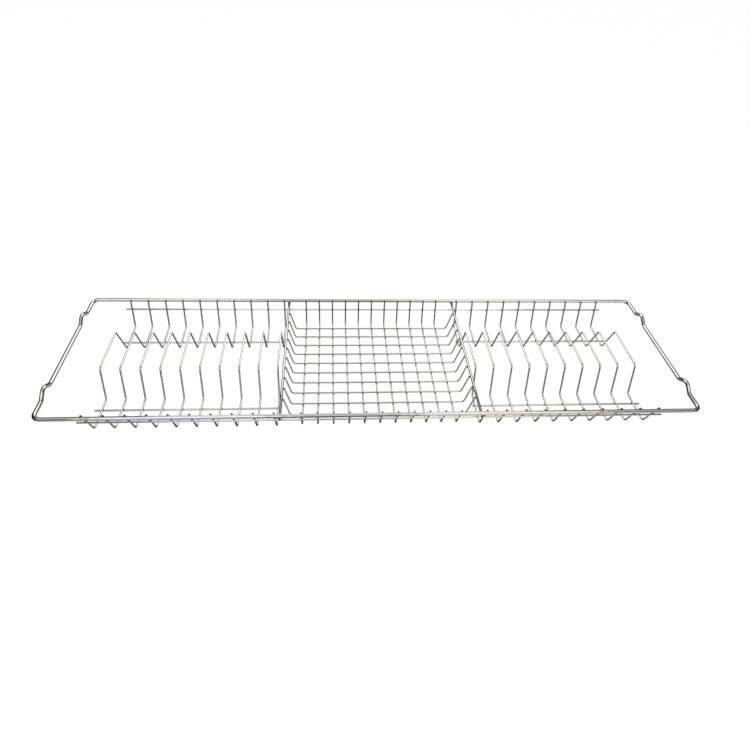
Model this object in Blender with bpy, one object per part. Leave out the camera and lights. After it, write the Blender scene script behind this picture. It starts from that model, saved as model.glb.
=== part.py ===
"""Wire dish drainer for the shelf space of a wall cabinet, one metre wide.

A thick wire frame hangs on four cabinet pegs by raised saddles in its end bars. It
carries a rack of bent plate wires on each side, and a basket of crossed wires for cups
between two divider bars. Every piece is bright chromed steel wire, welded where it
touches its neighbour, so nothing moves.

The X axis runs along the frame, +Y points to the back wall of the cabinet and +Z up.
The origin is under the middle of the drainer, on the surface that it stands on.
"""

import math

import bpy
from mathutils import Vector

MM = 0.001

# Frame: one closed loop of the thickest wire
OVERALL_WIDTH = 966 * MM
OVERALL_DEPTH = 280 * MM
FRAME_WIRE = 6 * MM
FRAME_CORNER_RADIUS = 10 * MM

# Saddles: the end bars rise over the cabinet's pegs
BACK_SADDLE_INSET = 55 * MM
FRONT_SADDLE_INSET = 51 * MM
SADDLE_RISE = 8 * MM
SADDLE_LENGTH = 34 * MM
SADDLE_CROWN = 8 * MM
SADDLE_BEND_RADIUS = 8 * MM

# Dividers: two bars from rail to rail, welded under both
DIVIDER_WIRE = 4 * MM
DIVIDER_SPACING = 293 * MM
DIVIDER_OVERRUN = 1.5 * MM

# Plate wires: two troughs with a bridge between them
PLATE_WIRE = 2.8 * MM
PLATE_BEND_RADIUS = 6 * MM
PLATE_WIRE_PITCH = 29.2 * MM
FIRST_PLATE_WIRE_OFFSET = 8 * MM
END_BAY_LENGTH = 61 * MM
PLATE_FLOOR_DEPTH = 45.5 * MM
BRIDGE_RISE = 4.5 * MM
BACK_FLOOR_LENGTH = 57 * MM
FRONT_FLOOR_LENGTH = 58 * MM
BRIDGE_BACK_RUN = 18.5 * MM
BRIDGE_FRONT_RUN = 16 * MM

# Walls: every crosswise wire leans inwards below the rails
BACK_WALL_LEAN = math.radians(16)
FRONT_WALL_LEAN = math.radians(20)
BACK_TIP_RISE = 3 * MM
FRONT_TIP_RISE = 1.5 * MM

# Basket: a grid of cross wires and, on top of them, long wires
BASKET_WIRE = 2.5 * MM
BASKET_BEND_RADIUS = 5 * MM
BASKET_FLOOR_DEPTH = 40.5 * MM
CROSS_WIRE_PITCH = 23.3 * MM
CROSS_WIRE_MARGIN = 25 * MM
LONG_WIRES = 10
LONG_WIRE_MARGIN = 17.2 * MM
LONG_WIRE_END_LEAN = math.radians(14)
LONG_WIRE_TIP_RISE = 1.5 * MM

# Stringers: they tie the crosswise wires together outside both walls
STRINGER_WIRE = 2.8 * MM
BACK_STRINGER_OVERHANG = 11 * MM
FRONT_STRINGER_OVERHANG = 12 * MM
BACK_STRINGER_DROP = 15.5 * MM
FRONT_STRINGER_DROP = 16.8 * MM

# Plate rests: rods under the troughs, which the drainer stands on
PLATE_REST_WIRE = 3 * MM
PLATE_REST_OVERHANG = 12 * MM
PLATE_REST_INNER_OVERHANG = 3 * MM
BACK_REST_INSET = 39 * MM
FRONT_REST_INSET = 38 * MM

# Every weld keeps this much air, so that each piece stays its own solid
WELD_GAP = 0.3 * MM

# How finely a bend and a wire's section are faceted
BEND_STEP = math.radians(30)
FRAME_SIDES = 12
WIRE_SIDES = 8

# Finishes: colour, roughness
FRAME_FINISH = ((0.80, 0.80, 0.78), 0.10)
DIVIDER_FINISH = ((0.78, 0.78, 0.77), 0.13)
WIRE_FINISH = ((0.76, 0.76, 0.75), 0.16)
REST_FINISH = ((0.72, 0.73, 0.73), 0.20)


def across(first, second):
    """The distance between the centrelines of two wires that are welded side by side."""
    return (first + second) / 2 + WELD_GAP


# Heights above the surface, worked out from the rests upwards
REST_Z = PLATE_REST_WIRE / 2
PLATE_FLOOR_Z = REST_Z + across(PLATE_REST_WIRE, PLATE_WIRE)
FRAME_Z = PLATE_FLOOR_Z + PLATE_FLOOR_DEPTH
BRIDGE_Z = FRAME_Z + BRIDGE_RISE
CROSS_WIRE_Z = FRAME_Z - BASKET_FLOOR_DEPTH
LONG_WIRE_Z = CROSS_WIRE_Z + across(BASKET_WIRE, BASKET_WIRE)
DIVIDER_Z = FRAME_Z - across(FRAME_WIRE, DIVIDER_WIRE)

# Centrelines of the frame's bars
END_BAR_X = (OVERALL_WIDTH - FRAME_WIRE) / 2
RAIL_Y = (OVERALL_DEPTH - FRAME_WIRE) / 2
DIVIDER_X = DIVIDER_SPACING / 2


def clear_scene():
    for obj in list(bpy.data.objects):
        bpy.data.objects.remove(obj, do_unlink=True)


def make_material(name, finish):
    """Bright metal of one colour and roughness."""
    colour, roughness = finish
    material = bpy.data.materials.new(name)
    material.use_nodes = True
    shader = material.node_tree.nodes["Principled BSDF"]
    shader.inputs["Base Color"].default_value = (*colour, 1)
    shader.inputs["Metallic"].default_value = 1
    shader.inputs["Roughness"].default_value = roughness
    return material


def turn_at(before, here, after):
    """The angle by which a path turns at one of its points."""
    if before is None or after is None:
        return 0
    return (here - before).angle(after - here)


def bend(before, corner, after, radius):
    """The points of the arc that replaces a corner of a wire's centreline."""
    back = (before - corner).normalized()
    ahead = (after - corner).normalized()
    turn = math.pi - back.angle(ahead)
    steps = max(2, math.ceil(turn / BEND_STEP))
    middle = corner + (back + ahead).normalized() * radius / math.cos(turn / 2)
    start = corner + back * radius * math.tan(turn / 2) - middle
    side = ahead - back * ahead.dot(back)
    side.normalize()
    side *= radius
    points = []
    for step in range(steps + 1):
        angle = turn * step / steps
        points.append(middle + start * math.cos(angle) - back * radius * math.sin(angle))
    return points


def rounded(corners, radius, closed):
    """A centreline through the corners, with every corner bent to the radius."""
    count = len(corners)
    path = []
    for index, corner in enumerate(corners):
        if not closed and index in (0, count - 1):
            path.append(corner)
        else:
            reach = radius(corner) if callable(radius) else radius
            path += bend(corners[index - 1], corner, corners[(index + 1) % count], reach)
    return path


def make_wire(name, corners, thickness, bend_radius, material, sides=WIRE_SIDES, closed=False):
    """A bent wire: a centreline with a faceted section that is its thickness across flats."""
    path = rounded([Vector(corner) for corner in corners], bend_radius, closed)
    origin = sum(path, Vector()) / len(path)
    curve = bpy.data.curves.new(name, "CURVE")
    curve.dimensions = "3D"
    curve.resolution_u = 1
    curve.bevel_depth = thickness / 2 / math.cos(math.pi / sides)
    curve.bevel_resolution = sides // 2 - 2
    curve.use_fill_caps = not closed
    spline = curve.splines.new("POLY")
    spline.use_cyclic_u = closed
    spline.points.add(len(path) - 1)
    for index, here in enumerate(path):
        before = path[index - 1] if index or closed else None
        after = path[(index + 1) % len(path)] if index < len(path) - 1 or closed else None
        point = spline.points[index]
        point.co = (*(here - origin), 1)
        point.radius = 1 / math.cos(turn_at(before, here, after) / 2)
        point.tilt = math.pi / sides
    spline.use_smooth = True
    curve.materials.append(material)
    obj = bpy.data.objects.new(name, curve)
    obj.location = origin
    bpy.context.scene.collection.objects.link(obj)
    return obj


def wall_y(side, z, thickness=PLATE_WIRE):
    """Where the centreline of a crosswise wire is at a height, on the back (side 1) or the
    front (side -1) wall. The outer faces of all the wires lie on the leaning wall, which
    passes the rail at the width of a weld."""
    lean = BACK_WALL_LEAN if side > 0 else FRONT_WALL_LEAN
    reach = across(FRAME_WIRE, thickness) / math.cos(lean)
    return side * (RAIL_Y - reach - (FRAME_Z - z) * math.tan(lean))


def wall_tips(thickness):
    """The upper ends of a crosswise wire, at the back rail and at the front rail."""
    back_z = FRAME_Z + BACK_TIP_RISE
    front_z = FRAME_Z + FRONT_TIP_RISE
    back = (wall_y(1, back_z, thickness), back_z)
    front = (wall_y(-1, front_z, thickness), front_z)
    return back, front


def saddle_corners(x, ahead, centre):
    """The four corners of a saddle, in the direction in which the loop runs."""
    half, crown = SADDLE_LENGTH / 2, SADDLE_CROWN / 2
    return [
        (x, centre - ahead * half, FRAME_Z),
        (x, centre - ahead * crown, FRAME_Z + SADDLE_RISE),
        (x, centre + ahead * crown, FRAME_Z + SADDLE_RISE),
        (x, centre + ahead * half, FRAME_Z),
    ]


def make_frame():
    material = make_material("frame_chrome", FRAME_FINISH)
    corners = []
    for side in (1, -1):
        x = side * END_BAR_X
        corners.append((x, -side * RAIL_Y, FRAME_Z))
        saddles = (FRONT_SADDLE_INSET - RAIL_Y, RAIL_Y - BACK_SADDLE_INSET)
        for centre in saddles[::side]:
            corners += saddle_corners(x, side, centre)
        corners.append((x, side * RAIL_Y, FRAME_Z))

    def radius(corner):
        at_rail = abs(abs(corner.y) - RAIL_Y) < WELD_GAP
        return FRAME_CORNER_RADIUS if at_rail else SADDLE_BEND_RADIUS

    make_wire("frame_loop", corners, FRAME_WIRE, radius, material, FRAME_SIDES, closed=True)


def make_dividers():
    material = make_material("divider_chrome", DIVIDER_FINISH)
    reach = RAIL_Y + DIVIDER_OVERRUN
    for name, x in (("divider_left", -DIVIDER_X), ("divider_right", DIVIDER_X)):
        ends = [(x, -reach, DIVIDER_Z), (x, reach, DIVIDER_Z)]
        make_wire(name, ends, DIVIDER_WIRE, 0, material)


def plate_wire_places():
    """How far each plate wire is from the middle, from the divider outwards."""
    first = DIVIDER_X + FIRST_PLATE_WIRE_OFFSET
    last = END_BAR_X - END_BAY_LENGTH
    count = int((last - first) / PLATE_WIRE_PITCH) + 1
    return [first + index * PLATE_WIRE_PITCH for index in range(count)]


def plate_wire_profile():
    """The corners of a plate wire, from the back rail down and up to the front rail."""
    back_tip, front_tip = wall_tips(PLATE_WIRE)
    back = wall_y(1, PLATE_FLOOR_Z)
    front = wall_y(-1, PLATE_FLOOR_Z)
    back_foot = back - BACK_FLOOR_LENGTH
    front_foot = front + FRONT_FLOOR_LENGTH
    return [
        back_tip,
        (back, PLATE_FLOOR_Z),
        (back_foot, PLATE_FLOOR_Z),
        (back_foot - BRIDGE_BACK_RUN, BRIDGE_Z),
        (front_foot + BRIDGE_FRONT_RUN, BRIDGE_Z),
        (front_foot, PLATE_FLOOR_Z),
        (front, PLATE_FLOOR_Z),
        front_tip,
    ]


def make_plate_wires():
    material = make_material("plate_wire_chrome", WIRE_FINISH)
    for side_name, side in (("left", -1), ("right", 1)):
        for number, place in enumerate(plate_wire_places(), start=1):
            corners = [(side * place, y, z) for y, z in plate_wire_profile()]
            name = f"plate_wire_{side_name}_{number:02d}"
            make_wire(name, corners, PLATE_WIRE, PLATE_BEND_RADIUS, material)


def make_basket_cross_wires():
    material = make_material("cross_wire_chrome", WIRE_FINISH)
    room = DIVIDER_X - CROSS_WIRE_MARGIN
    each_side = int(room / CROSS_WIRE_PITCH)
    back_tip, front_tip = wall_tips(BASKET_WIRE)
    back = wall_y(1, CROSS_WIRE_Z, BASKET_WIRE)
    front = wall_y(-1, CROSS_WIRE_Z, BASKET_WIRE)
    profile = [back_tip, (back, CROSS_WIRE_Z), (front, CROSS_WIRE_Z), front_tip]
    for number, step in enumerate(range(-each_side, each_side + 1), start=1):
        corners = [(step * CROSS_WIRE_PITCH, y, z) for y, z in profile]
        name = f"basket_cross_wire_{number:02d}"
        make_wire(name, corners, BASKET_WIRE, BASKET_BEND_RADIUS, material)


def long_wire_profile():
    """The corners of a long wire, whose ends lean outwards up to the dividers."""
    reach = across(DIVIDER_WIRE, BASKET_WIRE) / math.cos(LONG_WIRE_END_LEAN)
    tip_z = DIVIDER_Z + LONG_WIRE_TIP_RISE
    slope = math.tan(LONG_WIRE_END_LEAN)
    tip_x = DIVIDER_X - reach + LONG_WIRE_TIP_RISE * slope
    foot_x = DIVIDER_X - reach - (DIVIDER_Z - LONG_WIRE_Z) * slope
    return [(-tip_x, tip_z), (-foot_x, LONG_WIRE_Z), (foot_x, LONG_WIRE_Z), (tip_x, tip_z)]


def make_basket_long_wires():
    material = make_material("long_wire_chrome", WIRE_FINISH)
    back = wall_y(1, LONG_WIRE_Z) - LONG_WIRE_MARGIN
    front = wall_y(-1, LONG_WIRE_Z) + LONG_WIRE_MARGIN
    pitch = (back - front) / (LONG_WIRES - 1)
    for number in range(LONG_WIRES):
        y = back - number * pitch
        corners = [(x, y, z) for x, z in long_wire_profile()]
        name = f"basket_long_wire_{number + 1:02d}"
        make_wire(name, corners, BASKET_WIRE, BASKET_BEND_RADIUS, material)


def make_stringers():
    material = make_material("stringer_chrome", WIRE_FINISH)
    plans = (
        ("back_stringer", 1, BACK_WALL_LEAN, BACK_STRINGER_DROP, BACK_STRINGER_OVERHANG),
        ("front_stringer", -1, FRONT_WALL_LEAN, FRONT_STRINGER_DROP, FRONT_STRINGER_OVERHANG),
    )
    for name, side, lean, drop, overhang in plans:
        reach = plate_wire_places()[-1] + overhang
        z = FRAME_Z - drop
        y = wall_y(side, z) + side * across(PLATE_WIRE, STRINGER_WIRE) / math.cos(lean)
        make_wire(name, [(-reach, y, z), (reach, y, z)], STRINGER_WIRE, 0, material)


def make_plate_rests():
    material = make_material("rest_chrome", REST_FINISH)
    places = plate_wire_places()
    inner = places[0] - PLATE_REST_INNER_OVERHANG
    outer = places[-1] + PLATE_REST_OVERHANG
    back = wall_y(1, PLATE_FLOOR_Z) - BACK_REST_INSET
    front = wall_y(-1, PLATE_FLOOR_Z) + FRONT_REST_INSET
    for side_name, side in (("left", -1), ("right", 1)):
        for place_name, y in (("back", back), ("front", front)):
            ends = [(side * inner, y, REST_Z), (side * outer, y, REST_Z)]
            make_wire(f"plate_rest_{side_name}_{place_name}", ends, PLATE_REST_WIRE, 0, material)


def main():
    clear_scene()
    make_frame()
    make_dividers()
    make_plate_wires()
    make_basket_cross_wires()
    make_basket_long_wires()
    make_stringers()
    make_plate_rests()


main()
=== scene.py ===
"""Wire dish drainer for a wall cabinet, dressed for a picture.

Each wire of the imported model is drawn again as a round, smoothly bent wire, with rounded
edges at its cut ends. Weld nuggets are set where wires touch, and every piece gets a bright
chrome finish. The file is laid out as a Blender add-on and is run as a script. X runs along
the rails to the right, Y to the back and Z up, and a side of 1 is the right or the back.
"""

import math

import bpy
from bpy.props import FloatProperty, FloatVectorProperty, IntProperty, PointerProperty
from mathutils import Euler, Matrix, Vector


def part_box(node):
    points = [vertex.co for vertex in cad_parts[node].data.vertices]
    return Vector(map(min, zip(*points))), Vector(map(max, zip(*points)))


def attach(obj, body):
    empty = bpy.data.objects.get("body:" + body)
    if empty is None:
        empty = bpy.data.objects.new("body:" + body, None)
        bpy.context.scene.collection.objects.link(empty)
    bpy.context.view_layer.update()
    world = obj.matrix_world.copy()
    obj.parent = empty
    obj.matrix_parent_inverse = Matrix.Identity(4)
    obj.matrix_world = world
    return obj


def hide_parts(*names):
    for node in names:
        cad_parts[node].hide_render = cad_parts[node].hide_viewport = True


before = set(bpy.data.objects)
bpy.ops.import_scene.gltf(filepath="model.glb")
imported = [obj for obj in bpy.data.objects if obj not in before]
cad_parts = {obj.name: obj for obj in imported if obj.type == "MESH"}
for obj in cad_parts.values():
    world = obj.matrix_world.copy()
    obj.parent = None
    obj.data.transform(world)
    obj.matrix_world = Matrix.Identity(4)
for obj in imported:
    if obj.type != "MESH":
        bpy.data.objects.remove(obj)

bl_info = {
    "name": "Wire dish drainer",
    "version": (1, 0, 0),
    "blender": (4, 5, 0),
    "location": "3D View > Sidebar > Drainer",
    "description": "Draws a chromed wire dish drainer around its packed model",
    "category": "Object",
}

BODY = "root"
SIDES = (("left", -1), ("right", 1))
WALLS = (("back", 1), ("front", -1))

# How fine the meshes are
LOOP_SIDES = 24
WIRE_SIDES = 16
BEND_STEP = math.radians(11)
CUT_SEGMENTS = 3
CUT_ANGLE = math.radians(50)
SMOOTH_ANGLE = math.radians(40)
MERGE_DISTANCE = 0.00001
NUGGET_SEGMENTS = 8
NUGGET_RINGS = 6
NUGGET_SEED = 7

# Patterns: how many blotches lie on a metre, from where to where they fade in, and what they
# add to the roughness
PATCH_SCALE = 9
PATCH_FADE = (0.42, 0.62)
SWAY_SCALE = 28
SMUDGE_SCALE = 60
SMUDGE_FADE = (0.35, 0.75)
SMUDGE_ROUGHNESS = 0.07
PORE_SCALE = 1800
PORE_ROUGHNESS = 0.03
PAPER_ROUGHNESS = 0.9
FIBRE_SCALE = 300
FIBRE_ROUGHNESS = 0.08

# Floor, backdrop and camera
FLOOR_SIZE = 60
BACKDROP_RADIUS = 28
SENSOR_WIDTH = 36
CLIP_START = 0.01
CLIP_END = 200

# The surroundings that the wires mirror: along what each part fades in, and from where to where
RIGHT = (1, 0, 0)
UP = (0, 0, 1)
RIGHT_DARK_FADE = (-0.45, -0.05)
RIGHT_TABLE_FADE = (-0.3, 0.3)
ASIDE_FADE = (0.005, 0.05)
FRONT_TABLE_WAY = (0, -1, -0.45)
FRONT_TABLE_FADE = (0.5, 0.8)
TABLE_HORIZON_FADE = (-0.17, -0.1)
MIDDLE_HORIZON_FADE = (-0.85, -0.7)
BACK_TABLE_WAY = (0, 0.75, -0.66)
BACK_TABLE_FADE = (0.75, 0.85)
STRIP_WAY = (0, 0.66, 0.75)
STRIP_FOOT_FADE = (-0.22, -0.14)
STRIP_TOP_FADE = (0.14, 0.22)


def length(name, description, default):
    return FloatProperty(
        name=name, description=description, default=default, unit="LENGTH", precision=4
    )


def position(name, description, default):
    return FloatVectorProperty(
        name=name, description=description, default=default, subtype="TRANSLATION"
    )


def angle(name, description, degrees):
    return FloatProperty(
        name=name, description=description, default=math.radians(degrees), subtype="ANGLE"
    )


def colour(name, description, default):
    return FloatVectorProperty(
        name=name, description=description, default=default, subtype="COLOR", min=0, max=1
    )


def direction(name, description, default):
    return FloatVectorProperty(
        name=name, description=description, default=default, subtype="DIRECTION"
    )


def share(name, description, default):
    return FloatProperty(name=name, description=description, default=default, subtype="FACTOR")


class DRAINER_frame_sizes(bpy.types.PropertyGroup):
    """The loop and the two bars between basket and racks"""

    wire: length("Loop wire", "Thickness of the frame's loop", 0.006)
    end_bar_x: length("End bar", "Distance of an end bar from the middle", 0.480)
    rail_y: length("Rail", "Distance of a rail from the middle", 0.137)
    rail_z: length("Rail height", "Height of the rails' centreline", 0.0502)
    corner_radius: length("Corner radius", "Bend radius of the loop's corners", 0.010)
    back_saddle_y: length("Back saddle", "Place of the back saddles' middle", 0.082)
    front_saddle_y: length("Front saddle", "Place of the front saddles' middle", -0.086)
    saddle_rise: length("Saddle rise", "How far a saddle rises", 0.008)
    saddle_length: length("Saddle length", "Length of a saddle at its foot", 0.034)
    saddle_crown: length("Saddle crown", "Length of a saddle's top", 0.008)
    saddle_bend: length("Saddle bend", "Bend radius in a saddle", 0.008)
    divider_wire: length("Divider wire", "Thickness of a divider", 0.004)
    divider_x: length("Divider", "Distance of a divider from the middle", 0.1465)
    divider_z: length("Divider height", "Height of the dividers' centreline", 0.0449)
    divider_end: length("Divider end", "How far a divider reaches from the middle", 0.1385)


class DRAINER_rack_sizes(bpy.types.PropertyGroup):
    """The plate wires, the stringers that tie them and the rods that they rest on"""

    wire: length("Plate wire", "Thickness of a plate wire", 0.0028)
    bend_radius: length("Bend radius", "Bend radius of a plate wire", 0.006)
    first_x: length("First wire", "Distance of the first plate wire from the middle", 0.1545)
    pitch: length("Pitch", "Distance between plate wires", 0.0292)
    count: IntProperty(name="Plate wires", description="Plate wires on each side", default=10)
    floor_z: length("Floor height", "Height of a trough's floor", 0.0047)
    bridge_z: length("Bridge height", "Height of the bridge between the troughs", 0.0547)
    back_floor: length("Back floor", "Length of the back trough's floor", 0.057)
    front_floor: length("Front floor", "Length of the front trough's floor", 0.058)
    back_run: length("Back run", "How far the bridge's back leg leans", 0.0185)
    front_run: length("Front run", "How far the bridge's front leg leans", 0.016)
    stringer_wire: length("Stringer wire", "Thickness of a stringer", 0.0028)
    back_stringer_z: length("Back stringer", "Height of the back stringer", 0.0347)
    front_stringer_z: length("Front stringer", "Height of the front stringer", 0.0334)
    rest_wire: length("Rest wire", "Thickness of a plate rest", 0.003)
    back_rest_inset: length("Back rest", "From the back trough's outer bend to its rest", 0.039)
    front_rest_inset: length("Front rest", "From the front trough's outer bend to its rest", 0.038)


class DRAINER_basket_sizes(bpy.types.PropertyGroup):
    """The basket's grid, and the lean of the walls that all the crosswise wires share"""

    wire: length("Basket wire", "Thickness of a basket wire", 0.0025)
    bend_radius: length("Bend radius", "Bend radius of a basket wire", 0.005)
    cross_pitch: length("Cross pitch", "Distance between cross wires", 0.0233)
    cross_count: IntProperty(name="Cross wires", description="Wires from rail to rail", default=11)
    cross_z: length("Cross height", "Height of the cross wires' floor", 0.0097)
    long_count: IntProperty(name="Long wires", description="Wires between dividers", default=10)
    long_margin: length("Long margin", "From a wall to the nearest long wire", 0.0172)
    long_z: length("Long height", "Height of the long wires' floor", 0.0125)
    long_lean: angle("End lean", "Lean of the long wires' ends", 14)
    long_tip: length("Long tip", "How far a long wire's end passes its divider", 0.0015)
    back_lean: angle("Back lean", "Lean of the back wall", 16)
    front_lean: angle("Front lean", "Lean of the front wall", 20)
    back_tip: length("Back tip", "How far a crosswise wire passes the back rail", 0.003)
    front_tip: length("Front tip", "How far a crosswise wire passes the front rail", 0.0015)


class DRAINER_weld_sizes(bpy.types.PropertyGroup):
    """Welds, seen as small nuggets in the corners where two wires cross"""

    gap: length("Weld gap", "Distance between two welded wires", 0.0003)
    spread: share("Spread", "Width of a nugget, as a share of its wire's thickness", 0.74)
    depth: share("Depth", "Height of a nugget, as a share of its wire's thickness", 0.38)
    rough: length("Unevenness", "How far a nugget's surface wanders", 0.0001)
    butt: length("Butt weld", "Thickness of the nugget where the loop's ends meet", 0.0022)
    butt_x: length("Butt place", "Where the loop's ends meet on the front rail", -0.448)
    cut_edge: length("Cut edge", "Rounding of a wire's cut end", 0.0004)


class DRAINER_finish(bpy.types.PropertyGroup):
    """Colours of the plating, with painted light and shade in some of them, and how sharply it
    mirrors
    """

    cool: colour("Cool chrome", "Colour of most of the plating", (0.80, 0.82, 0.85))
    warm: colour("Warm chrome", "Colour of its faint warm patches", (0.84, 0.79, 0.72))
    # The weld colour is partly the welds' own tint and partly painted shade: it is kept very dark
    # to stand for the shade and dark reflections where wires cross.
    weld_heat_and_shade: colour("Heat tint", "Colour of the welds", (0.14, 0.13, 0.12))
    cut: colour("Cut steel", "Colour of the wires' cut ends", (0.06, 0.055, 0.05))
    rim: colour("Rim", "How much the plating mirrors at a glancing angle", (0.35, 0.34, 0.33))
    # Painted light and shade: these scale the plating colour of each kind of part, darker on the
    # loop and the basket wires and lighter on the plate wires and stringers
    loop_painted_shade: share("Loop brightness", "Brightness of the frame's plating", 0.87)
    rack_painted_light: share("Rack brightness", "Brightness of plate wires and stringers", 1.07)
    cross_painted_shade: share("Cross brightness", "Brightness of the basket's cross wires", 0.8)
    long_painted_shade: share("Long brightness", "Brightness of the basket's long wires", 0.74)
    sway: length("Sway", "How far the plating swells and sinks", 0.0008)
    pores: length("Pores", "Depth of the plating's pores", 0.000004)
    loop_roughness: share("Loop roughness", "Roughness of the loop and the dividers", 0.07)
    wire_roughness: share("Wire roughness", "Roughness of basket wires and stringers", 0.09)
    rack_roughness: share("Rack roughness", "Roughness of the plate wires", 0.16)
    rest_roughness: share("Rest roughness", "Roughness of the plate rests", 0.26)
    weld_roughness: share("Weld roughness", "Roughness of the nuggets", 0.34)
    cut_roughness: share("Cut roughness", "Roughness of the wires' cut ends", 0.5)


class DRAINER_stage(bpy.types.PropertyGroup):
    """Camera, floor and light"""

    camera_place: position("Camera", "Where the camera stands", (-0.07255, -0.64783, 0.6251))
    heading: angle("Heading", "How far the camera turns to the right", 6.4276)
    pitch: angle("Pitch", "How far the camera looks down", 43.9411)
    roll: angle("Roll", "How far the camera is tilted", 4.0093)
    lens: FloatProperty(
        name="Lens", description="Focal length", default=25.799, unit="CAMERA", precision=3
    )
    floor_colour: colour("Floor", "Colour of the floor", (0.15, 0.15, 0.15))
    floor_glow: share("Floor glow", "How far the floor is lit from below", 0.93)
    softbox_place: position("Softbox", "Middle of the light above the camera", (0, -1.45, 1.6))
    softbox_tilt: angle("Softbox tilt", "How far that light is turned to face the drainer", 52.884)
    softbox_height: length("Softbox height", "Height of that light", 2.5)
    middle_width: length("Middle width", "Width of that light's dimmer middle", 0.7)
    wing_width: length("Wing width", "Width of that light on each side of its middle", 1.15)
    middle_light: share("Middle light", "Brightness of that light's middle", 0.55)
    wing_light: share("Wing light", "Brightness of that light beside its middle", 1.06)
    panel_place: position("Panel", "Middle of the light behind the drainer", (0, 1.0, 1.02))
    panel_width: length("Panel width", "Width of the light behind the drainer", 1.5)
    panel_height: length("Panel height", "Height of the light behind the drainer", 1.34)
    panel_power: FloatProperty(
        name="Panel power", description="Power of the light behind the drainer", default=9.2,
        unit="POWER",
    )
    sky: colour("Sky", "Colour of the dim ceiling", (0.62, 0.62, 0.63))
    middle_sky: colour("Middle sky", "Colour of the ceiling's dimmer middle", (0.3, 0.3, 0.31))
    left_dark: colour("Left dark", "Colour of the dark on the left", (0.022, 0.026, 0.038))
    right_dark: colour("Right dark", "Colour of the dark on the right", (0.07, 0.072, 0.066))
    left_table: colour("Left table", "Colour of the lit table on the left", (0.62, 0.62, 0.64))
    right_table: colour("Right table", "Colour of the lit table on the right", (1.0, 1.0, 0.98))
    skyline: direction("Skyline", "What the skyline rises along", (0, -0.1, 1))
    skyline_low: share("Skyline foot", "Where the sky begins to brighten", 0.62)
    skyline_high: share("Skyline top", "Where the sky is fully bright", 0.78)


class Value:
    """A socket of a node tree, on which sums are written as in Python."""

    def __init__(self, tree, socket):
        self.tree = tree
        self.socket = socket

    def __add__(self, other):
        return self.tree.sum("ADD", self, other)

    def __sub__(self, other):
        return self.tree.sum("SUBTRACT", self, other)

    def __rsub__(self, other):
        return self.tree.sum("SUBTRACT", other, self)

    def __mul__(self, other):
        return self.tree.sum("MULTIPLY", self, other)

    __radd__ = __add__
    __rmul__ = __mul__


class Tree:
    """The nodes of a material or of the world."""

    def __init__(self, owner):
        owner.use_nodes = True
        self.nodes = owner.node_tree.nodes
        self.links = owner.node_tree.links

    def fill(self, node, sockets):
        """Links or sets each socket, which is named or numbered."""
        for name, value in sockets.items():
            if isinstance(value, Value):
                self.links.new(value.socket, node.inputs[name])
            else:
                node.inputs[name].default_value = value

    def node(self, kind, settings=(), output=0, **sockets):
        """Adds a node, sets it up, fills its sockets and gives one of its outputs. A socket is
        called by its name, with _ for a space, or by _ and its number."""
        made = self.nodes.new(kind)
        for name, value in dict(settings).items():
            setattr(made, name, value)
        for name, value in sockets.items():
            number = name[1:]
            key = int(number) if number.isdigit() else name.replace("_", " ")
            self.fill(made, {key: value})
        return Value(self, made.outputs[output])

    def sum(self, operation, first, second):
        return self.node("ShaderNodeMath", {"operation": operation}, _0=first, _1=second)

    def noise(self, place, scale, detail=2.0):
        """Soft blotches, from 0 to 1, about 1 / scale apart."""
        return self.node("ShaderNodeTexNoise", Vector=place, Scale=scale, Detail=detail)

    def between(self, factor, first, second):
        """A blend of two colours."""
        first, second = (
            shade if isinstance(shade, Value) else (*shade, 1) for shade in (first, second)
        )
        settings = {"data_type": "RGBA"}
        return self.node("ShaderNodeMix", settings, output=2, _0=factor, _6=first, _7=second)

    def along(self, way, axis):
        """How far a vector points along an axis."""
        settings = {"operation": "DOT_PRODUCT"}
        return self.node("ShaderNodeVectorMath", settings, output="Value", _0=way, _1=axis)

    def steep(self, value, low, high):
        """Stretches low to high over 0 to 1."""
        return self.node(
            "ShaderNodeMapRange", {"interpolation_type": "SMOOTHSTEP"},
            Value=value, From_Min=low, From_Max=high,
        )


def make_chrome(name, roughness, brightness=1.0, tint=None):
    """Bright plating: cool with faint warm patches, or all of one tint, with a slightly
    wandering surface and fine pores."""
    finish = bpy.context.scene.drainer_finish
    material = bpy.data.materials.new(name)
    tree = Tree(material)
    place = tree.node("ShaderNodeTexCoord", output="Object")
    patches = tree.steep(tree.noise(place, PATCH_SCALE), *PATCH_FADE)
    sway = tree.noise(place, SWAY_SCALE)
    smudges = tree.steep(tree.noise(place, SMUDGE_SCALE, detail=3), *SMUDGE_FADE)
    pores = tree.noise(place, PORE_SCALE, detail=1)
    # brightness darkens or lightens the plating colour as painted light and shade
    cool, warm = (
        [part * brightness for part in tint or plating] for plating in (finish.cool, finish.warm)
    )
    height = sway * finish.sway + pores * finish.pores
    tree.fill(
        tree.nodes["Principled BSDF"],
        {
            "Base Color": tree.between(patches, cool, warm),
            "Metallic": 1.0,
            "Specular Tint": (*finish.rim, 1),
            "Roughness": roughness + smudges * SMUDGE_ROUGHNESS + pores * PORE_ROUGHNESS,
            "Normal": tree.node("ShaderNodeBump", Height=height, Distance=1.0),
        },
    )
    return material


def finish_of(name, roughness, brightness=1.0, tint=None):
    """The finish with this name, made once."""
    return bpy.data.materials.get(name) or make_chrome(name, roughness, brightness, tint)


def deselect():
    bpy.ops.object.select_all(action="DESELECT")


def add_modifier(piece, kind, **settings):
    """Adds a modifier and applies it."""
    modifier = piece.modifiers.new(kind.title(), kind)
    for name, value in settings.items():
        setattr(modifier, name, value)
    bpy.ops.object.modifier_apply(modifier=modifier.name)


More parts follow.
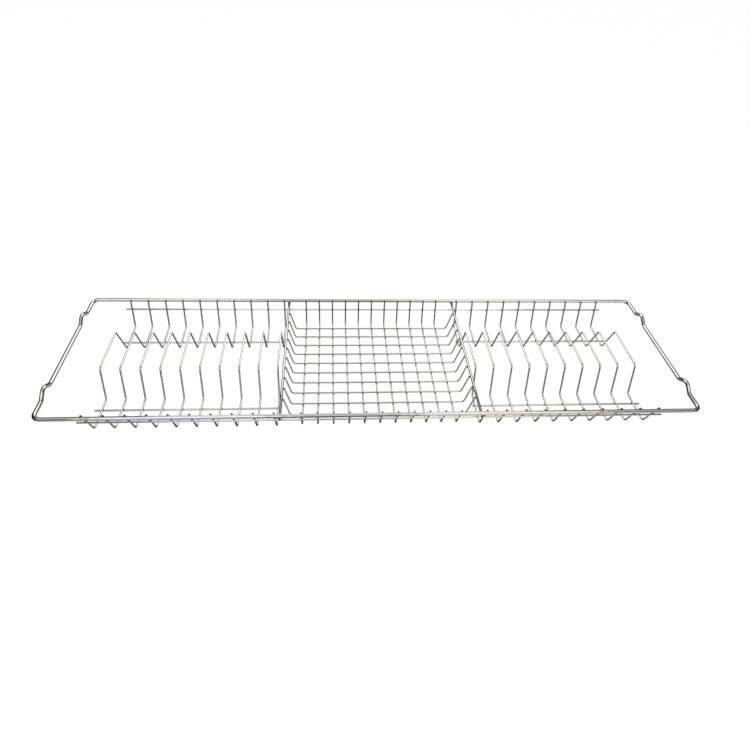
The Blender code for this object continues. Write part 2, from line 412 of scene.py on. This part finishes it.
def hand_over(piece, finish, slot, *nodes):
    """Puts a finished piece in place of its nodes, which get the same finish."""
    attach(piece, BODY)
    if nodes:
        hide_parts(*nodes)
    for node in nodes:
        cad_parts[node].data.materials.clear()
        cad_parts[node].data.materials.append(finish)


def extrude(way):
    bpy.ops.mesh.extrude_region_move(TRANSFORM_OT_translate={"value": way})


def close_ends(piece, sides):
    """Closes an open wire's two ends with faces of cut steel."""
    finish = bpy.context.scene.drainer_finish
    bpy.ops.mesh.select_all(action="DESELECT")
    bpy.ops.mesh.select_non_manifold()
    bpy.ops.mesh.fill_holes(sides=0)
    bpy.ops.mesh.select_mode(type="FACE")
    bpy.ops.mesh.select_face_by_sides(number=sides, extend=False)
    piece.data.materials.append(finish_of("cut_steel", finish.cut_roughness, tint=finish.cut))
    piece.active_material_index = 1
    bpy.ops.object.material_slot_assign()
    bpy.ops.mesh.select_mode(type="VERT")


def draw_wire(name, corners, thickness, finish, radii=(), closed=False, sides=WIRE_SIDES):
    """Draws a round wire through its corners, with a bend radius for each corner: a ring is
    extruded along each straight run and spun round each bend. An open wire gets its ends
    closed and their edges rounded."""
    corners = [Vector(corner) for corner in corners]
    count = len(corners)
    if closed:
        start = goal = (corners[-1] + corners[0]) / 2
        bends = range(count)
    else:
        start, goal = corners[0], corners[-1]
        bends = range(1, count - 1)
    way = (corners[bends[0]] if bends else goal) - start
    deselect()
    bpy.ops.mesh.primitive_circle_add(
        vertices=sides, radius=thickness / 2, fill_type="NOTHING", location=start,
        rotation=way.to_track_quat("Z", "Y").to_euler(),
    )
    piece = bpy.context.object
    piece.name = piece.data.name = name
    piece.data.materials.append(finish)
    bpy.ops.object.mode_set(mode="EDIT")
    bpy.ops.mesh.select_all(action="SELECT")
    here = start
    for index in bends:
        corner = corners[index]
        back = (here - corner).normalized()
        ahead = (corners[(index + 1) % count] - corner).normalized()
        turn = math.pi - back.angle(ahead)
        reach = radii[index] * math.tan(turn / 2)
        extrude(corner + back * reach - here)
        bpy.ops.mesh.spin(
            steps=math.ceil(turn / BEND_STEP), angle=turn, axis=back.cross(ahead),
            center=corner + (back + ahead).normalized() * radii[index] / math.cos(turn / 2),
            use_auto_merge=False,
        )
        here = corner + ahead * reach
    extrude(goal - here)
    if closed:
        bpy.ops.mesh.select_all(action="SELECT")
        bpy.ops.mesh.remove_doubles(threshold=MERGE_DISTANCE)
    else:
        close_ends(piece, sides)
    bpy.ops.mesh.select_all(action="SELECT")
    bpy.ops.mesh.normals_make_consistent(inside=False)
    bpy.ops.object.mode_set(mode="OBJECT")
    bpy.ops.object.transform_apply(location=True, rotation=True, scale=True)
    if not closed:
        add_modifier(
            piece, "BEVEL", limit_method="ANGLE", angle_limit=CUT_ANGLE, segments=CUT_SEGMENTS,
            width=bpy.context.scene.drainer_welds.cut_edge,
        )
    bpy.ops.object.shade_smooth_by_angle(angle=SMOOTH_ANGLE)
    return piece


def copy_wire(piece, name, way):
    """A copy with a mesh of its own, moved in its mesh."""
    deselect()
    piece.select_set(True)
    bpy.context.view_layer.objects.active = piece
    bpy.ops.object.duplicate(linked=False)
    made = bpy.context.object
    made.name = made.data.name = name
    made.location = way
    bpy.ops.object.transform_apply(location=True, rotation=False, scale=False)
    return made


def draw_like_wires(name, corners, sizes, finish, slot, places):
    """Draws one bent wire and copies it to the place of each node that is like it."""
    radii = [sizes.bend_radius] * len(corners)
    pattern = draw_wire(name, corners, sizes.wire, finish, radii)
    for node, way in places:
        hand_over(copy_wire(pattern, f"{node}_wire", way), finish, slot, node)
    bpy.data.objects.remove(pattern)


def wall_lean(side):
    """How far the back or the front wall leans outwards."""
    basket = bpy.context.scene.drainer_basket
    return basket.back_lean if side > 0 else basket.front_lean


def wall_y(side, z, thickness):
    """Where a crosswise wire's centreline is at a height, on the back or the front wall."""
    loop = bpy.context.scene.drainer_frame
    gap = bpy.context.scene.drainer_welds.gap
    lean = wall_lean(side)
    reach = ((loop.wire + thickness) / 2 + gap) / math.cos(lean)
    return side * (loop.rail_y - reach - (loop.rail_z - z) * math.tan(lean))


def wall_tip(side, thickness):
    """The upper end of a crosswise wire."""
    basket = bpy.context.scene.drainer_basket
    tip = basket.back_tip if side > 0 else basket.front_tip
    z = bpy.context.scene.drainer_frame.rail_z + tip
    return wall_y(side, z, thickness), z


def stringer_place(side):
    """How far back a stringer's centreline is, and its height."""
    rack = bpy.context.scene.drainer_rack
    gap = bpy.context.scene.drainer_welds.gap
    z = rack.back_stringer_z if side > 0 else rack.front_stringer_z
    away = ((rack.wire + rack.stringer_wire) / 2 + gap) / math.cos(wall_lean(side))
    return wall_y(side, z, rack.wire) + side * away, z


def rest_y(side):
    """How far back a plate rest is."""
    rack = bpy.context.scene.drainer_rack
    inset = rack.back_rest_inset if side > 0 else rack.front_rest_inset
    return wall_y(side, rack.floor_z, rack.wire) - side * inset


def long_wire_places():
    """How far back each long wire is, from back to front."""
    sizes = bpy.context.scene.drainer_basket
    plate_wire = bpy.context.scene.drainer_rack.wire
    back = wall_y(1, sizes.long_z, plate_wire) - sizes.long_margin
    front = wall_y(-1, sizes.long_z, plate_wire) + sizes.long_margin
    step = (back - front) / (sizes.long_count - 1)
    return [back - number * step for number in range(sizes.long_count)]


def node_span(node):
    """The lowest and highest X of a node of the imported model."""
    low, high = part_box(node)
    return low.x, high.x


class DRAINER_OT_frame(bpy.types.Operator):
    """Draw the saddled loop and the two dividers"""

    bl_idname = "drainer.frame"
    bl_label = "Draw the frame"

    def execute(self, context):
        sizes = context.scene.drainer_frame
        finish = context.scene.drainer_finish
        # The loop and the dividers get plating darkened as painted shade
        chrome = finish_of("loop_chrome_painted_shade", finish.loop_roughness, finish.loop_painted_shade)
        foot = sizes.saddle_length / 2
        crown = sizes.saddle_crown / 2
        rise = sizes.saddle_rise
        corners = []
        radii = []
        for side in (1, -1):
            bar = [(-side * sizes.rail_y, 0, sizes.corner_radius)]
            for middle in (sizes.front_saddle_y, sizes.back_saddle_y)[::side]:
                for along, up in ((-foot, 0), (-crown, rise), (crown, rise), (foot, 0)):
                    bar.append((middle + side * along, up, sizes.saddle_bend))
            bar.append((side * sizes.rail_y, 0, sizes.corner_radius))
            for y, up, radius in bar:
                corners.append((side * sizes.end_bar_x, y, sizes.rail_z + up))
                radii.append(radius)
        loop = draw_wire(
            "frame_loop_wire", corners, sizes.wire, chrome, radii, closed=True, sides=LOOP_SIDES
        )
        hand_over(loop, chrome, "frame_chrome", "frame_loop")
        for name, side in SIDES:
            x = side * sizes.divider_x
            ends = [(x, end * sizes.divider_end, sizes.divider_z) for end in (-1, 1)]
            divider = draw_wire(f"divider_{name}_wire", ends, sizes.divider_wire, chrome)
            hand_over(divider, chrome, "divider_chrome", f"divider_{name}")
        return {"FINISHED"}


class DRAINER_OT_racks(bpy.types.Operator):
    """Draw the plate wires, bent into two troughs with a bridge between them"""

    bl_idname = "drainer.racks"
    bl_label = "Draw the plate wires"

    def execute(self, context):
        sizes = context.scene.drainer_rack
        finish = context.scene.drainer_finish
        # The plate wires get plating lightened as painted light
        chrome = finish_of("plate_wire_plating_painted_light", finish.rack_roughness, finish.rack_painted_light)
        back = wall_y(1, sizes.floor_z, sizes.wire)
        front = wall_y(-1, sizes.floor_z, sizes.wire)
        back_foot = back - sizes.back_floor
        front_foot = front + sizes.front_floor
        profile = [
            wall_tip(1, sizes.wire),
            (back, sizes.floor_z),
            (back_foot, sizes.floor_z),
            (back_foot - sizes.back_run, sizes.bridge_z),
            (front_foot + sizes.front_run, sizes.bridge_z),
            (front_foot, sizes.floor_z),
            (front, sizes.floor_z),
            wall_tip(-1, sizes.wire),
        ]
        corners = [(0, y, z) for y, z in profile]
        places = []
        for name, side in SIDES:
            for number in range(sizes.count):
                x = side * (sizes.first_x + number * sizes.pitch)
                places.append((f"plate_wire_{name}_{number + 1:02d}", (x, 0, 0)))
        draw_like_wires("plate_wire", corners, sizes, chrome, "plate_wire_chrome", places)
        return {"FINISHED"}


class DRAINER_OT_basket(bpy.types.Operator):
    """Draw the basket's grid of cross wires and long wires"""

    bl_idname = "drainer.basket"
    bl_label = "Draw the basket"

    def execute(self, context):
        sizes = context.scene.drainer_basket
        loop = context.scene.drainer_frame
        gap = context.scene.drainer_welds.gap
        finish = context.scene.drainer_finish

        # The cross wires get plating darkened as painted shade
        chrome = finish_of("cross_wire_plating_painted_shade", finish.wire_roughness, finish.cross_painted_shade)
        profile = [
            wall_tip(1, sizes.wire),
            (wall_y(1, sizes.cross_z, sizes.wire), sizes.cross_z),
            (wall_y(-1, sizes.cross_z, sizes.wire), sizes.cross_z),
            wall_tip(-1, sizes.wire),
        ]
        corners = [(0, y, z) for y, z in profile]
        places = []
        for number in range(sizes.cross_count):
            x = (number - sizes.cross_count // 2) * sizes.cross_pitch
            places.append((f"basket_cross_wire_{number + 1:02d}", (x, 0, 0)))
        draw_like_wires("cross_wire", corners, sizes, chrome, "cross_wire_chrome", places)

        # The long wires get plating darkened as painted shade
        chrome = finish_of("long_wire_plating_painted_shade", finish.wire_roughness, finish.long_painted_shade)
        slope = math.tan(sizes.long_lean)
        reach = ((loop.divider_wire + sizes.wire) / 2 + gap) / math.cos(sizes.long_lean)
        inner = loop.divider_x - reach
        tip = inner + sizes.long_tip * slope
        foot = inner - (loop.divider_z - sizes.long_z) * slope
        tip_z = loop.divider_z + sizes.long_tip
        profile = [(-tip, tip_z), (-foot, sizes.long_z), (foot, sizes.long_z), (tip, tip_z)]
        corners = [(x, 0, z) for x, z in profile]
        places = []
        for number, y in enumerate(long_wire_places()):
            places.append((f"basket_long_wire_{number + 1:02d}", (0, y, 0)))
        draw_like_wires("long_wire", corners, sizes, chrome, "long_wire_chrome", places)
        return {"FINISHED"}


class DRAINER_OT_rods(bpy.types.Operator):
    """Draw the stringers along both walls and the rods under the troughs"""

    bl_idname = "drainer.rods"
    bl_label = "Draw the stringers and rests"

    def execute(self, context):
        sizes = context.scene.drainer_rack
        finish = context.scene.drainer_finish
        # The stringers get plating lightened as painted light
        chrome = finish_of("rod_plating_painted_light", finish.wire_roughness, finish.rack_painted_light)
        dull = finish_of("rest_chrome_finish", finish.rest_roughness)
        for place, side in WALLS:
            y, z = stringer_place(side)
            node = f"{place}_stringer"
            ends = [(x, y, z) for x in node_span(node)]
            stringer = draw_wire(f"{node}_wire", ends, sizes.stringer_wire, chrome)
            hand_over(stringer, chrome, "stringer_chrome", node)
            for name, _ in SIDES:
                node = f"plate_rest_{name}_{place}"
                ends = [(x, rest_y(side), sizes.rest_wire / 2) for x in node_span(node)]
                rest = draw_wire(f"{node}_wire", ends, sizes.rest_wire, dull)
                hand_over(rest, dull, "rest_chrome", node)
        return {"FINISHED"}


def add_nuggets(place, thickness, turn=(0, 0, 0), rows=()):
    """A nugget where two wires cross, repeated along rows of (count, step)."""
    sizes = bpy.context.scene.drainer_welds
    spread = thickness * sizes.spread
    deselect()
    bpy.ops.mesh.primitive_uv_sphere_add(
        segments=NUGGET_SEGMENTS, ring_count=NUGGET_RINGS, radius=1, location=place, rotation=turn,
        scale=(spread, spread, thickness * sizes.depth),
    )
    piece = bpy.context.object
    bpy.ops.object.transform_apply(location=True, rotation=True, scale=True)
    for count, step in rows:
        add_modifier(
            piece, "ARRAY", count=count, use_relative_offset=False, use_constant_offset=True,
            constant_offset_displace=step,
        )
    bpy.ops.object.mode_set(mode="EDIT")
    bpy.ops.mesh.select_all(action="SELECT")
    bpy.ops.transform.vertex_random(offset=sizes.rough, uniform=1, normal=0, seed=NUGGET_SEED)
    bpy.ops.object.mode_set(mode="OBJECT")
    bpy.ops.object.shade_smooth()
    return piece


def join_nuggets(name, pieces, slot):
    """Joins nuggets to one piece and gives it the dark weld finish, which is partly the welds' own
    tint and partly painted shade for the dark spots where wires cross.
    """
    finish = bpy.context.scene.drainer_finish
    deselect()
    for piece in pieces:
        piece.select_set(True)
    bpy.context.view_layer.objects.active = pieces[0]
    bpy.ops.object.join()
    joined = bpy.context.object
    joined.name = joined.data.name = name
    # The welds get a very dark finish: partly their own tint, partly painted shade where wires
    # cross.
    shaded_weld = finish_of("weld_chrome_and_shade", finish.weld_roughness, tint=finish.weld_heat_and_shade)
    joined.data.materials.append(shaded_weld)
    hand_over(joined, shaded_weld, slot)


def wall_welds(x, thickness, row):
    """Nuggets on the outer side of a row of crosswise wires, where they pass under the rails
    and where the stringers cross them."""
    rail_z = bpy.context.scene.drainer_frame.rail_z
    gap = bpy.context.scene.drainer_welds.gap
    made = []
    for heights in ((rail_z, rail_z), [stringer_place(side)[1] for _, side in WALLS]):
        for (_, side), z in zip(WALLS, heights):
            lean = wall_lean(side)
            y = wall_y(side, z, thickness) + side * (thickness + gap) / 2 / math.cos(lean)
            turn = (side * (lean - math.pi / 2), 0, 0)
            made.append(add_nuggets((x, y, z), thickness, turn, (row,)))
    return made


class DRAINER_OT_welds(bpy.types.Operator):
    """Set a nugget in every crossing of two wires"""

    bl_idname = "drainer.welds"
    bl_label = "Set the welds"

    def execute(self, context):
        loop = context.scene.drainer_frame
        rack = context.scene.drainer_rack
        basket = context.scene.drainer_basket
        welds = context.scene.drainer_welds

        across = (basket.cross_count, (basket.cross_pitch, 0, 0))
        first_x = -(basket.cross_count // 2) * basket.cross_pitch
        first_y, second_y = long_wire_places()[:2]
        along = (basket.long_count, (0, second_y - first_y, 0))
        corner = (first_x, first_y, (basket.cross_z + basket.long_z) / 2)
        grid = add_nuggets(corner, basket.wire, rows=(across, along))
        join_nuggets("basket_grid_welds", [grid], "cross_wire_chrome")
        edge = wall_welds(first_x, basket.wire, across)
        join_nuggets("basket_edge_welds", edge, "cross_wire_chrome")

        lean = basket.long_lean
        reach = (loop.divider_wire + welds.gap) / 2
        tips = []
        for _, side in SIDES:
            x = side * (loop.divider_x - reach * math.cos(lean))
            z = loop.divider_z + reach * math.sin(lean)
            turn = (0, side * (math.pi / 2 - lean), 0)
            tips.append(add_nuggets((x, first_y, z), basket.wire, turn, (along,)))
            for end in (-1, 1):
                corner = (side * loop.divider_x, end * loop.rail_y, loop.divider_z + reach)
                tips.append(add_nuggets(corner, loop.divider_wire))
        join_nuggets("divider_welds", tips, "divider_chrome")

        # The loop's ends meet in the front rail, and the nugget shows on its lower front quarter
        sunk = (loop.wire - welds.butt) / 2 * math.sqrt(0.5)
        seam = (welds.butt_x, -loop.rail_y - sunk, loop.rail_z - sunk)
        butt = add_nuggets(seam, welds.butt, (math.pi * 3 / 4, 0, 0))
        join_nuggets("butt_weld", [butt], "frame_chrome")

        for name, side in SIDES:
            row = (rack.count, (side * rack.pitch, 0, 0))
            x = side * rack.first_x
            made = wall_welds(x, rack.wire, row)
            for _, wall in WALLS:
                under = (x, rest_y(wall), rack.rest_wire + welds.gap / 2)
                made.append(add_nuggets(under, rack.wire, rows=(row,)))
            join_nuggets(f"rack_welds_{name}", made, "plate_wire_chrome")
        return {"FINISHED"}


def make_floor(stage):
    """A pale paper floor, lit from below, that the wires don't mirror."""
    bpy.ops.mesh.primitive_plane_add(size=FLOOR_SIZE)
    floor = bpy.context.object
    floor.name = "floor"
    floor.visible_glossy = False
    paper = bpy.data.materials.new("floor_paper")
    tree = Tree(paper)
    place = tree.node("ShaderNodeTexCoord", output="Object")
    fibre = tree.noise(place, FIBRE_SCALE, detail=3)
    tree.fill(
        tree.nodes["Principled BSDF"],
        {
            "Base Color": (*stage.floor_colour, 1),
            "Roughness": PAPER_ROUGHNESS + fibre * FIBRE_ROUGHNESS,
            "Emission Color": (1, 1, 1, 1),
            "Emission Strength": stage.floor_glow,
        },
    )
    floor.data.materials.append(paper)
    return floor


def make_backdrop():
    """A white sphere around everything, which only the camera sees."""
    bpy.ops.mesh.primitive_uv_sphere_add(segments=48, ring_count=24, radius=BACKDROP_RADIUS)
    backdrop = bpy.context.object
    backdrop.name = "backdrop"
    bpy.ops.object.shade_smooth()
    pale = bpy.data.materials.new("backdrop_pale")
    tree = Tree(pale)
    tree.nodes.remove(tree.nodes["Principled BSDF"])
    glow = tree.node("ShaderNodeEmission", Color=(1, 1, 1, 1), Strength=1.0)
    tree.fill(tree.nodes["Material Output"], {"Surface": glow})
    backdrop.data.materials.append(pale)
    backdrop.visible_glossy = False
    backdrop.visible_diffuse = False
    backdrop.visible_shadow = False
    return backdrop


def add_light(name, place, tilt, width, height, power):
    """A soft rectangular light, tilted from facing straight down."""
    bpy.ops.object.light_add(type="AREA", location=place, rotation=(tilt, 0, 0))
    light = bpy.context.object
    light.name = name
    light.data.shape = "RECTANGLE"
    light.data.size = width
    light.data.size_y = height
    light.data.energy = power


def add_lights(stage):
    """A wide light above the camera with a dimmer middle, and a lower one behind the drainer."""
    x, y, z = stage.softbox_place
    height = stage.softbox_height
    aside = (stage.middle_width + stage.wing_width) / 2
    for name, offset, width, brightness in (
        ("softbox_left", -aside, stage.wing_width, stage.wing_light),
        ("softbox_middle", 0, stage.middle_width, stage.middle_light),
        ("softbox_right", aside, stage.wing_width, stage.wing_light),
    ):
        power = brightness * math.pi * width * height
        add_light(name, (x + offset, y, z), stage.softbox_tilt, width, height, power)
    add_light(
        "panel", stage.panel_place, -math.pi / 2, stage.panel_width, stage.panel_height,
        stage.panel_power,
    )


def make_surroundings(stage):
    """What the wires mirror past the lights: dark sides, a dim ceiling, the lit table in front
    of the drainer and a strip of it behind."""
    world = bpy.data.worlds.new("studio")
    bpy.context.scene.world = world
    tree = Tree(world)
    way = tree.node("ShaderNodeTexCoord", output="Generated")

    def fade(axis, low, high):
        """Fades in from low to high along an axis."""
        return tree.steep(tree.along(way, axis), low, high)

    # 1 in the middle and 0 aside: squared, so that left and right are alike
    across = tree.along(way, RIGHT)
    middle = 1 - tree.steep(across * across, *ASIDE_FADE)
    front = (1 - fade(UP, *TABLE_HORIZON_FADE)) * fade(FRONT_TABLE_WAY, *FRONT_TABLE_FADE)
    front = front * (1 - middle * fade(UP, *MIDDLE_HORIZON_FADE))
    strip = fade(BACK_TABLE_WAY, *BACK_TABLE_FADE) * fade(STRIP_WAY, *STRIP_FOOT_FADE)
    strip = strip * (1 - fade(STRIP_WAY, *STRIP_TOP_FADE))
    dark = tree.between(fade(RIGHT, *RIGHT_DARK_FADE), stage.left_dark, stage.right_dark)
    table = tree.between(fade(RIGHT, *RIGHT_TABLE_FADE), stage.left_table, stage.right_table)
    below = tree.between(front + strip, dark, table)
    above = tree.between(middle, stage.sky, stage.middle_sky)
    lift = fade(stage.skyline, stage.skyline_low, stage.skyline_high)
    tree.fill(tree.nodes["Background"], {"Color": tree.between(lift, below, above)})


def place_camera(stage):
    """The camera, at the photograph's viewing angle."""
    bpy.ops.object.camera_add(location=stage.camera_place)
    camera = bpy.context.object
    camera.name = "camera"
    turn = Euler((math.pi / 2 - stage.pitch, 0, -stage.heading)).to_matrix()
    camera.rotation_euler = (turn @ Matrix.Rotation(stage.roll, 3, "Z")).to_euler()
    camera.data.sensor_width = SENSOR_WIDTH
    camera.data.lens = stage.lens
    camera.data.clip_start = CLIP_START
    camera.data.clip_end = CLIP_END
    bpy.context.scene.camera = camera


class DRAINER_OT_stage(bpy.types.Operator):
    """Set up the pale floor, the soft light and the camera"""

    bl_idname = "drainer.stage"
    bl_label = "Set the stage"

    def execute(self, context):
        stage = context.scene.drainer_stage
        deselect()
        floor = make_floor(stage)
        backdrop = make_backdrop()
        add_lights(stage)
        make_surroundings(stage)
        deselect()
        place_camera(stage)
        context.scene.view_settings.view_transform = "Standard"
        return {"FINISHED"}


STEPS = (
    DRAINER_OT_frame,
    DRAINER_OT_racks,
    DRAINER_OT_basket,
    DRAINER_OT_rods,
    DRAINER_OT_welds,
    DRAINER_OT_stage,
)


class DRAINER_PT_panel(bpy.types.Panel):
    """Steps of the drainer, in order"""

    bl_idname = "DRAINER_PT_panel"
    bl_label = "Wire dish drainer"
    bl_space_type = "VIEW_3D"
    bl_region_type = "UI"
    bl_category = "Drainer"

    def draw(self, context):
        for step in STEPS:
            self.layout.operator(step.bl_idname)


GROUPS = {
    "drainer_frame": DRAINER_frame_sizes,
    "drainer_rack": DRAINER_rack_sizes,
    "drainer_basket": DRAINER_basket_sizes,
    "drainer_welds": DRAINER_weld_sizes,
    "drainer_finish": DRAINER_finish,
    "drainer_stage": DRAINER_stage,
}
CLASSES = (*GROUPS.values(), *STEPS, DRAINER_PT_panel)


def register():
    for kind in CLASSES:
        bpy.utils.register_class(kind)
    for name, kind in GROUPS.items():
        setattr(bpy.types.Scene, name, PointerProperty(type=kind))


def unregister():
    for name in GROUPS:
        delattr(bpy.types.Scene, name)
    for kind in reversed(CLASSES):
        bpy.utils.unregister_class(kind)


def main():
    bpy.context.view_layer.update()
    register()
    bpy.ops.drainer.frame()
    bpy.ops.drainer.racks()
    bpy.ops.drainer.basket()
    bpy.ops.drainer.rods()
    bpy.ops.drainer.welds()
    bpy.ops.drainer.stage()


if __name__ == "__main__":
    main()
